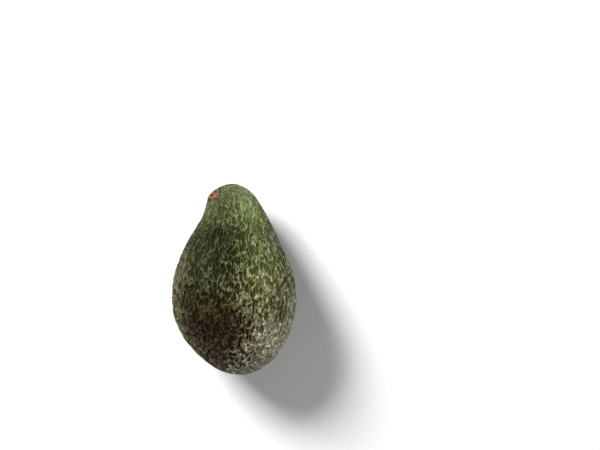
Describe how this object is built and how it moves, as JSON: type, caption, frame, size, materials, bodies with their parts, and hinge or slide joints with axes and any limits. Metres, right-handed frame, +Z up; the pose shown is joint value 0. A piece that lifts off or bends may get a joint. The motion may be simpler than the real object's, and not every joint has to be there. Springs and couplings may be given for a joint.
{
  "type": "avocado",
  "caption": "Whole pear-shaped avocado with pebbled green and purple-brown skin and a corky stem scar on its neck, lying on its side.",
  "frame": {"origin": "bottom centre of the fruit's bounding box, level with the flat spot that it rests on", "axes": "+Y points along the fruit from its blossom end to its neck, +Z is up as it lies, +X is its right side"},
  "size_m": [0.0666, 0.1014, 0.064],
  "materials": {
    "skin": "pebbled and waxy, deep green with olive, tan and purple-brown areas"
  },
  "bodies": {
    "root": {"fruit": "skin"}
  },
  "joints": []
}
